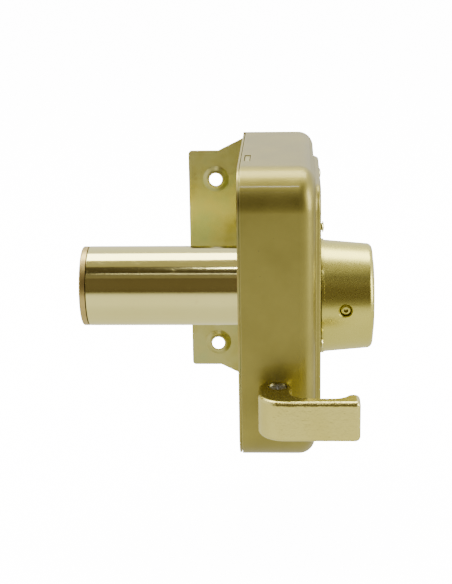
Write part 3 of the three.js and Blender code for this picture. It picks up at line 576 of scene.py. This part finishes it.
def handle():
    low, high = box_of("pull_handle")
    bar, lug, lip_wide, lip_high, slant = 6.5, 14.0, 4.8, 4.5, 2.6
    bar_back, lug_right = low[1] + bar, low[0] + lug
    piece = block("handle", low, [high[0], bar_back, high[2]])
    # the lug, out of the back of the bar
    slice_at("X", lug_right)
    choose(piece, "faces", lambda c, n: n.y > 0.99 and c.x < lug_right)
    extrude(y=high[1] - bar_back)
    # the lip that curls back at the free end
    lip = high[0] - lip_wide
    slice_at("X", lip)
    choose(piece, "verts", lambda v: near(v.x, lip) and near(v.y, bar_back))
    shift(x=-slant)
    choose(piece, "faces", lambda c, n: n.y > 0.99 and c.x > lip)
    extrude(y=lip_high)
    choose(piece, "verts", lambda v: near(v.x, lip - slant) and near(v.y, bar_back + lip_high))
    shift(x=slant)
    flatten_faces()
    # rounds in plan
    choose(piece, "edges", along("Z", low[0], low[1]))
    rounded(11.0, 20)
    choose(piece, "edges", along("Z", lug_right, bar_back))
    rounded(6.5, 10)
    choose(piece, "edges", along("Z", lip - slant, bar_back))
    rounded(3.6, 8)
    choose(piece, "edges", along("Z", lip, bar_back + lip_high))
    rounded(1.33, 5)
    choose(piece, "edges", along("Z", None, high[1]))
    rounded(4.0, 8)
    choose(piece, "edges", along("Z", high[0], None))
    rounded(2.3, 7)
    # rounds along the top and bottom
    choose(piece, "edges", lambda a, b: both("Z", high[2])(a, b) or both("Z", low[2])(a, b))
    rounded(2.0, 8)
    screw = middle_of("handle_screw")
    top, over = high[2], high[2] + 2
    cutters = [drum("sink", "Z", 4.0, top - 3.4, over, screw[:2], 64)]
    cutters.append(drum("bore", "Z", 1.8, top - 14.4, over, screw[:2], 32))
    cutters.append(drum("vent", "Z", 1.0, top - 4.0, over, (27.7, -58.4), 32))
    pocket = [SLIDE_LOW[0] - GAP, SLIDE_LOW[1] - GAP, SLIDE_LOW[2] - GAP]
    cutters.append(block("pocket", pocket, [SLIDE_HIGH[0] + GAP, -30.0, SLIDE_HIGH[2] + GAP]))
    carve(piece, *cutters)
    finish_piece(piece, "pull_handle", 0.2)


# ---- Inner boss and what sits in it ------------------------------------------------------------------------

BOSS_SIDES = 128


def boss():
    low, high = box_of("inner_boss")
    base, tip, ring, spigot, seat = 24.6, 22.75, 25.1, 11.5, 17.4
    back = CASE_HIGH[0] + GAP
    foot, end = back + 1.2, back + 22.3
    piece = drum("boss", "X", base, foot, end, DRIVE, BOSS_SIDES, tip)
    choose(piece, "edges", both("X", end))
    rounded(2.2, 9)
    # the foot ring, then the spigot that goes through the case
    choose(piece, "faces", lambda c, n: n.x < -0.99)
    extrude()
    grow = ring / base
    bpy.ops.transform.resize(value=(1.0, grow, grow), center_override=(foot * MM, 0.0, DRIVE_Z * MM))
    extrude(x=back - foot)
    bpy.ops.mesh.inset(thickness=(ring - spigot) * MM)
    extrude(x=low[0] - back)
    seat_floor = 37.0
    cutters = [drum("seat", "X", seat, seat_floor, end + PAST, DRIVE, BOSS_SIDES)]
    cutters.append(drum("way", "X", TAIL_WAY, low[0] - PAST, 40.0, DRIVE, 32))
    cutters.append(drum("stub", "X", 5.4, low[0] - PAST, low[0] + 5.0, DRIVE, 40))
    # the retaining screw's hole through the wall, with a small sink
    screw = (CASE_HIGH[0] + 10.7, DRIVE_Z)
    cutters.append(drum("hole", "Y", 2.55, -30.0, -14.0, screw, 48))
    cutters.append(drum("sink", "Y", 4.3, -25.8, -22.6, screw, 48, 2.4))
    carve(piece, *cutters)
    finish_piece(piece, "inner_boss", 0.22, 40.0, finish="blasted_brass")


def retaining_screw():
    """A grub screw with a domed end and a small socket, just under the skin of the boss."""
    low, high = box_of("boss_retaining_screw")
    radius, groove = 2.3, 2.05
    x = middle_of("boss_retaining_screw")[0]
    place = (x, DRIVE_Z)
    piece = drum("grub_screw", "Y", radius, low[1], high[1], place, 48)
    choose(piece, "edges", both("Y", low[1]))
    rounded(1.0, 6)
    thin = groove / radius
    for depth in (1.6, 2.4, 3.2, 4.0):
        level = low[1] + depth
        slice_at("Y", level)
        choose(piece, "verts", lambda v: near(v.y, level))
        middle = (x * MM, level * MM, DRIVE_Z * MM)
        bpy.ops.transform.resize(value=(thin, 1.0, thin), center_override=middle)
    carve(piece, drum("socket", "Y", 1.1, low[1] - PAST, low[1] + 2, place, 6))
    finish_piece(piece, "boss_retaining_screw", 0.1, finish="blasted_brass")


def cylinder_body():
    low, high = box_of("inner_cylinder_body")
    lip, groove_wall, groove_floor, face = 2.2, 0.25, 0.35, 1.5
    piece = drum("inner_cylinder", "X", 17.0, low[0], high[0], DRIVE, BOSS_SIDES)
    choose(piece, "edges", both("X", high[0]))
    rounded(0.6, 5)
    # a shallow ring groove turned into the face
    choose(piece, "faces", lambda c, n: n.x > 0.99)
    bpy.ops.mesh.inset(thickness=lip * MM)
    bpy.ops.mesh.inset(thickness=groove_wall * MM, depth=-groove_wall * MM)
    bpy.ops.mesh.inset(thickness=groove_floor * MM)
    bpy.ops.mesh.inset(thickness=groove_wall * MM, depth=groove_wall * MM)
    cutters = [drum("bore", "X", CORE_BORE, low[0] - PAST, high[0] - face, DRIVE, 96)]
    cutters.append(drum("mouth", "X", CORE_MOUTH, low[0] - PAST, high[0] + PAST, DRIVE, 96))
    for i in PINS:
        pin = middle_of(f"inner_key_pin_{i}")
        cutters.append(drum("chamber", "Z", CHAMBER, DRIVE_Z + CHAMBER_LOW, DRIVE_Z + 15.6, pin[:2], 24))
    carve(piece, *cutters)
    finish_piece(piece, "inner_cylinder_body", 0.15)


# ---- Barrel and its end ring -------------------------------------------------------------------------------

BARREL_SIDES = 144


def barrel():
    low, high = box_of("barrel")
    core_end, screw_apart = -33.8, 12.0
    piece = drum("barrel_fine", "X", BARREL, low[0], high[0], (0.0, 0.0), BARREL_SIDES)
    cutters = [drum("bore", "X", CORE_BORE, low[0] - PAST, core_end + GAP, DRIVE, 72)]
    cutters.append(drum("way", "X", TAIL_WAY, -40.0, PAST, DRIVE, 32))
    for y in (screw_apart, -screw_apart):
        cutters.append(drum("thread", "X", 2.4, -14.0, PAST, (y, 0.0), 24))
    for i in PINS:
        pin = middle_of(f"outer_key_pin_{i}")
        cutters.append(drum("chamber", "Z", CHAMBER, DRIVE_Z + CHAMBER_LOW, 16.1, pin[:2], 24))
    carve(piece, *cutters)
    finish_piece(piece, "barrel", 0.3, segments=3)


def end_ring():
    low, high = box_of("barrel_end_ring")
    piece = drum("end_ring", "X", BARREL, low[0], high[0], (0.0, 0.0), BARREL_SIDES)
    choose(piece, "edges", both("X", low[0]))
    rounded(0.8, 6)
    carve(piece, drum("mouth", "X", CORE_MOUTH, low[0] - 2, high[0] + 2, DRIVE, 96))
    finish_piece(piece, "barrel_end_ring", 0.2)


# ---- Edge plate --------------------------------------------------------------------------------------------

def edge_plate():
    low, high = box_of("edge_plate")
    thick, flange_middle, flange_half = 2.2, -3.8, 52.9
    inner, outer = high[1] - thick, high[1]
    flange_low, flange_high = flange_middle - flange_half, flange_middle + flange_half
    flare, straight = 6.0, 12.0
    through = (50.0, 65.0)  # a window's cutter, from inside the case to open air
    piece = block("edge", [0.0, inner, low[2]], [high[0], outer, high[2]])
    choose(piece, "edges", along("Y", high[0], None))
    rounded(CASE_EDGE, 12)
    slice_at("Z", flange_low - flare)
    slice_at("Z", flange_high + flare)
    # the flange: a tapering step out past the door's edge, then straight
    choose(piece, "faces", lambda c, n: n.x < -0.99 and flange_low < c.z < flange_high)
    extrude(x=-straight)
    share = (flange_high - flange_low) / (flange_high - flange_low + 2 * flare)
    middle = (-straight * MM, 0.0, (flange_low + flange_high) / 2 * MM)
    bpy.ops.transform.resize(value=(1.0, 1.0, share), center_override=middle)
    extrude(x=low[0] + straight)
    flatten_faces()
    choose(piece, "edges", along("Y", low[0], None))
    rounded(1.6, 6)
    raised, cutters, holes = [], [], []
    # the screw holes, pressed towards the door round their edges
    hole_in, hole_apart = -13.2, 40.5
    for z in (DRIVE_Z + hole_apart, DRIVE_Z - hole_apart):
        place = (hole_in, z)
        lip = drum("lip", "Y", 4.1, inner - 1.6, inner + 0.2, place, 72, 6.3)
        choose(lip, "edges", both("Y", inner - 1.6))
        rounded(0.5, 4)
        raised.append(lip)
        cutters.append(drum("sink", "Y", 2.1, inner - 2.2, outer + PAST, place, 72, 7.38))
        holes.append(drum("hole", "Y", 3.0, inner - 5, outer + 2, place, 72))
    carve(piece, joined(raised), operation="UNION")
    for name in ("bolt", "trigger"):
        part_low, part_high = box_of(name)
        window_low = [part_low[0] - GAP, through[0], part_low[2] - GAP]
        window_high = [part_high[0] + GAP, through[1], part_high[2] + GAP]
        if name == "bolt":
            window_low[2] = DRIVE_Z - 18.0 - GAP  # the head alone, without the leg to the handle
        cutters.append(block("window", window_low, window_high))
    tenon_thick, tenon_half = 2.4, 5.4
    for z in (DRIVE_Z + 30.0, DRIVE_Z - 40.0):
        slot_low = [-GAP, through[0], z - tenon_half]
        cutters.append(block("tenon_slot", slot_low, [tenon_thick, through[1], z + tenon_half]))
    carve(piece, joined(cutters), joined(holes))
    finish_piece(piece, "edge_plate", 0.3, 28.0)


case()
handle()
boss()
retaining_screw()
cylinder_body()
barrel()
end_ring()
edge_plate()
at_rest()


def spring_follows(name):
    """Gives the spring its own copy of its mesh."""
    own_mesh(nodes[name])


spring_follows("bolt_spring")
spring_follows("trigger_spring")


# ---- Studio ------------------------------------------------------------------------------------------------

DULL = 0.9  # roughness of floor, backdrop and cards
DAYLIGHT = 14.0  # glow of the floor and backdrop as the camera sees them


def plain(name, colour, glow=0.0):
    """A dull even paint, very faintly shaded; it may glow."""
    f = Finish(name)
    shade = f.noise(3.0, 2.0)
    tinted = f.mix(shade, tuple(0.98 * c for c in colour), colour)
    constants = {"Emission Color": (*colour, 1.0), "Emission Strength": glow}
    return f.surface(tinted, DULL, 0.0, None, constants)


def card(name, size, location, aim, material):
    """A flat studio card that faces a point; it shows only in reflections."""
    bpy.ops.mesh.primitive_plane_add(size=1.0, location=location)
    made = bpy.context.object
    made.name = name
    made.scale = (size[0], size[1], 1.0)
    made.rotation_mode = "QUATERNION"
    made.rotation_quaternion = (Vector(aim) - Vector(location)).to_track_quat("Z", "Y")
    made.data.materials.append(material)
    made.visible_camera = False
    made.visible_shadow = False
    made.visible_diffuse = False


def lamp(name, energy, size, location, colour=(1.0, 1.0, 1.0)):
    """A soft lamp of a size in metres that faces the middle of the lock."""
    data = bpy.data.lights.new(name, "AREA")
    data.energy = energy
    data.shape = "RECTANGLE"
    data.size, data.size_y = size
    data.color = colour
    made = bpy.data.objects.new(name, data)
    bpy.context.scene.collection.objects.link(made)
    made.location = location
    made.rotation_mode = "QUATERNION"
    made.rotation_quaternion = (-Vector(location)).to_track_quat("-Z", "Y")


def floor_plane(name, depth, material, camera_sees):
    """One of the floor's two planes: the upper is what the camera sees, the lower glows with painted light
    and painted shadow and is what shines back.
    """
    bpy.ops.mesh.primitive_plane_add(size=14.0, location=(0.0, 0.0, cad_box[0].z - depth))
    made = bpy.context.object
    made.name = name
    made.data.materials.append(material)
    made.visible_camera = camera_sees
    made.visible_glossy = not camera_sees
    made.visible_diffuse = not camera_sees


def shining_floor():
    """What the metal sees of the floor, painted on a glowing plane: brightest just in front of the lock as a
    painted pool of light, dimmer under it as a painted shadow, and dimmer far off.
    """
    f = Finish("floor_shine")
    sideways = f.add("ShaderNodeSeparateXYZ", sockets={"Vector": f.place}, out="X")
    across = f.add("ShaderNodeSeparateXYZ", sockets={"Vector": f.place}, out="Y")
    far = f.band(across, -1.3, -0.24)
    # painted shadow: the floor glows less under and behind the lock
    under_lock_shadow = f.band(across, -0.17, -0.06)
    beside = f.band(sideways, 0.85, 0.20)
    # painted pool of light: the glow is strongest in front of the lock and fades far off and to the right
    lit = f.mix(far * (0.25 + 0.75 * beside), (0.22, 0.19, 0.12), (1.16, 1.14, 0.94))
    shade = f.mix(under_lock_shadow * 0.25, lit, (0.42, 0.42, 0.34))
    constants = {"Emission Color": shade, "Emission Strength": 1.0}
    return f.surface((0.10, 0.10, 0.09), DULL, 0.0, None, constants)


def studio():
    world = bpy.data.worlds.new("studio")
    bpy.context.scene.world = world
    world.use_nodes = True
    background = world.node_tree.nodes["Background"]
    background.inputs["Color"].default_value = (1.0, 1.0, 1.0, 1.0)
    background.inputs["Strength"].default_value = 1.3
    white = (0.97, 0.97, 0.97)
    floor_plane("floor", 0.045, plain("pale_floor", white, DAYLIGHT), True)
    floor_plane("floor_shine", 0.050, shining_floor(), False)
    bpy.ops.mesh.primitive_uv_sphere_add(segments=48, ring_count=24, radius=6.5)
    dome = bpy.context.object
    dome.name = "backdrop"
    dome.data.materials.append(plain("pale_backdrop", white, DAYLIGHT))
    dome.visible_glossy = dome.visible_diffuse = dome.visible_shadow = False
    dark = plain("dark_card", (0.098, 0.076, 0.040))
    brown = plain("brown_card", (0.19, 0.165, 0.11))
    buff = plain("buff_card", (0.62, 0.58, 0.42))
    card("card_front_low", (4.0, 1.30), (0.0, -1.6, 0.54), (0.0, 0.0, 0.54), dark)
    card("card_front_high", (4.0, 0.76), (0.0, -1.6, 1.57), (0.0, 0.0, 1.57), brown)
    card("card_above_front", (4.0, 1.02), (0.0, -1.16, 1.9), (0.0, -1.16, 0.0), dark)
    card("card_above", (4.0, 0.82), (0.0, -0.24, 1.9), (0.0, -0.24, 0.0), buff)
    lamp("overhead", 26.0, (1.8, 0.55), (-0.1, 0.36, 1.1), (1.0, 0.985, 0.88))
    lamp("strip_high", 0.8, (0.13, 0.025), (0.0, -0.50, 1.13))
    lamp("strip_low", 0.10, (0.40, 0.03), (-0.05, -0.95, 1.10))
    lamp("right_soft", 11.0, (0.4, 0.9), (1.2, -0.25, 0.30))


def camera():
    """The camera in front of the handle's side and a little above, turned by three angles in degrees."""
    data = bpy.data.cameras.new("camera")
    data.sensor_width = 36.0
    data.lens = 88.5
    data.clip_start, data.clip_end = 0.01, 50.0
    made = bpy.data.objects.new("camera", data)
    bpy.context.scene.collection.objects.link(made)
    pitch, turn, roll = (math.radians(a) for a in (16.188, 2.768, -0.902))
    aim = Vector((
        -math.sin(turn) * math.cos(pitch), math.cos(turn) * math.cos(pitch), -math.sin(pitch),
    ))
    right = Vector((math.cos(turn), math.sin(turn), 0.0))
    up = right.cross(aim)
    across = right * math.cos(roll) + up * math.sin(roll)
    above = up * math.cos(roll) - right * math.sin(roll)
    place = Matrix((across, above, -aim)).transposed().to_4x4()
    place.translation = (0.0229, -0.60726, 0.17344)
    made.matrix_world = place
    bpy.context.scene.camera = made


studio()
camera()

bpy.context.view_layer.update()
